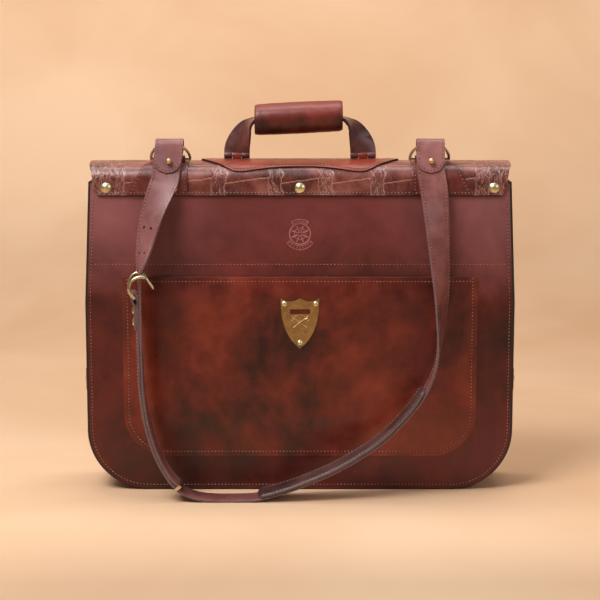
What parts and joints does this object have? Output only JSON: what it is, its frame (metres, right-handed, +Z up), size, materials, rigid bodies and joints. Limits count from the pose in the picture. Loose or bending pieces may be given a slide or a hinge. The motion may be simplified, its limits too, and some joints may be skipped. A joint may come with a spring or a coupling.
{
  "type": "garment bag",
  "caption": "Fold-over leather garment bag: two shallow halves hinged to a stiff spine, with carry handle, front pocket and adjustable shoulder strap.",
  "frame": {"origin": "middle of the base on the ground, where the two halves meet", "axes": "+X along the fold, -Y out of the front with the pocket, +Z up"},
  "size_m": [0.5704, 0.1674, 0.505],
  "materials": {
    "oxblood_leather": "mottled bridle leather, satin",
    "tan_leather": "waxed bridle leather, satin",
    "embossed_leather": "crocodile-embossed leather, satin",
    "stiffener_board": "raw fibre board",
    "lining_cloth": "woven cotton lining",
    "solid_brass": "polished, slightly aged",
    "steel": "bright"
  },
  "bodies": {
    "spine": {"yoke_top": "embossed_leather", "spine_board": "stiffener_board", "spine_ends": "stiffener_board", "ring_patch_right": "oxblood_leather", "ring_patch_left": "oxblood_leather", "ring_loop_right": "tan_leather", "ring_loop_left": "tan_leather", "handle_base": "oxblood_leather", "handle_anchors": "tan_leather", "handle_pins": "steel"},
    "handle": {"handle_strap": "tan_leather", "grip_core": "stiffener_board", "handle_grip": "tan_leather"},
    "left_ring": {"d_ring_left": "solid_brass"},
    "right_ring": {"d_ring_right": "solid_brass"},
    "front_half": {"front_panel": "oxblood_leather", "front_board": "stiffener_board", "front_lining": "lining_cloth", "front_gusset_bottom": "oxblood_leather", "front_gusset_right": "oxblood_leather", "front_gusset_left": "oxblood_leather", "front_yoke_apron": "embossed_leather", "front_patches": "oxblood_leather", "front_rivets": "solid_brass", "front_pocket": "tan_leather", "shield_plate": "solid_brass", "shield_rivets": "solid_brass", "closure_magnets": "steel"},
    "back_half": {"back_panel": "oxblood_leather", "back_board": "stiffener_board", "back_lining": "lining_cloth", "back_gusset_bottom": "oxblood_leather", "back_gusset_right": "oxblood_leather", "back_gusset_left": "oxblood_leather", "back_yoke_apron": "embossed_leather", "back_patches": "oxblood_leather", "back_rivets": "solid_brass", "tab_anchors": "oxblood_leather", "tab_rivets": "solid_brass", "garment_strap_lower": "tan_leather", "garment_strap_upper": "tan_leather", "garment_buckles": "solid_brass", "hanger_bracket": "solid_brass", "bracket_rivets": "solid_brass", "bail_loop": "tan_leather"},
    "bail": {"hanging_bail": "solid_brass"},
    "right_tab": {"side_tab_right": "oxblood_leather", "tab_cap_right": "solid_brass"},
    "left_tab": {"side_tab_left": "oxblood_leather", "tab_cap_left": "solid_brass"},
    "shoulder_strap": {"strap_billet": "tan_leather", "strap_long": "tan_leather", "shoulder_pad": "tan_leather", "strap_studs": "solid_brass", "chape_rivets": "solid_brass", "buckle_frame": "solid_brass"},
    "prongs": {"buckle_prongs": "solid_brass"},
    "keeper": {"strap_keeper": "solid_brass"}
  },
  "joints": [
    {"name": "front_fold", "type": "hinge", "parent": "spine", "child": "front_half", "pos_m": [0, -0.0507, 0.4085], "axis": [-1, 0, 0], "range_deg": [0, 90]},
    {"name": "back_fold", "type": "hinge", "parent": "spine", "child": "back_half", "pos_m": [0, 0.0507, 0.4085], "axis": [1, 0, 0], "range_deg": [0, 90]},
    {"name": "handle_swing", "type": "hinge", "parent": "spine", "child": "handle", "pos_m": [0, 0, 0.439], "axis": [1, 0, 0], "range_deg": [-75, 75]},
    {"name": "left_ring_swing", "type": "hinge", "parent": "spine", "child": "left_ring", "pos_m": [-0.168, -0.022, 0.43659], "axis": [-1, 0, 0], "range_deg": [0, 90]},
    {"name": "right_ring_swing", "type": "hinge", "parent": "spine", "child": "right_ring", "pos_m": [0.168, -0.022, 0.43659], "axis": [-1, 0, 0], "range_deg": [0, 90]},
    {"name": "strap_swing", "type": "hinge", "parent": "left_ring", "child": "shoulder_strap", "pos_m": [-0.168, -0.03526, 0.45356], "axis": [-1, 0, 0], "range_deg": [0, 150]},
    {"name": "prong_swing", "type": "hinge", "parent": "shoulder_strap", "child": "prongs", "pos_m": [-0.19949, -0.08426, 0.292], "axis": [0.1045, -0.9945, 0], "range_deg": [-35, 60]},
    {"name": "keeper_slide", "type": "slide", "parent": "shoulder_strap", "child": "keeper", "axis": [0.644, -0.0201, -0.7648], "range_m": [-0.004, 0.004]},
    {"name": "right_tab_swing", "type": "hinge", "parent": "back_half", "child": "right_tab", "pos_m": [0.28155, 0.006, 0.1455], "axis": [0, 0, 1], "range_deg": [0, 120]},
    {"name": "left_tab_swing", "type": "hinge", "parent": "back_half", "child": "left_tab", "pos_m": [-0.28155, 0.006, 0.1455], "axis": [0, 0, -1], "range_deg": [0, 120]},
    {"name": "bail_swing", "type": "hinge", "parent": "back_half", "child": "bail", "pos_m": [0, 0.0495, 0.018], "axis": [-1, 0, 0], "range_deg": [0, 180]}
  ],
  "couplings": [
    {"joint": "left_ring_swing", "follows": "front_fold", "ratio": 1},
    {"joint": "right_ring_swing", "follows": "front_fold", "ratio": 1}
  ]
}
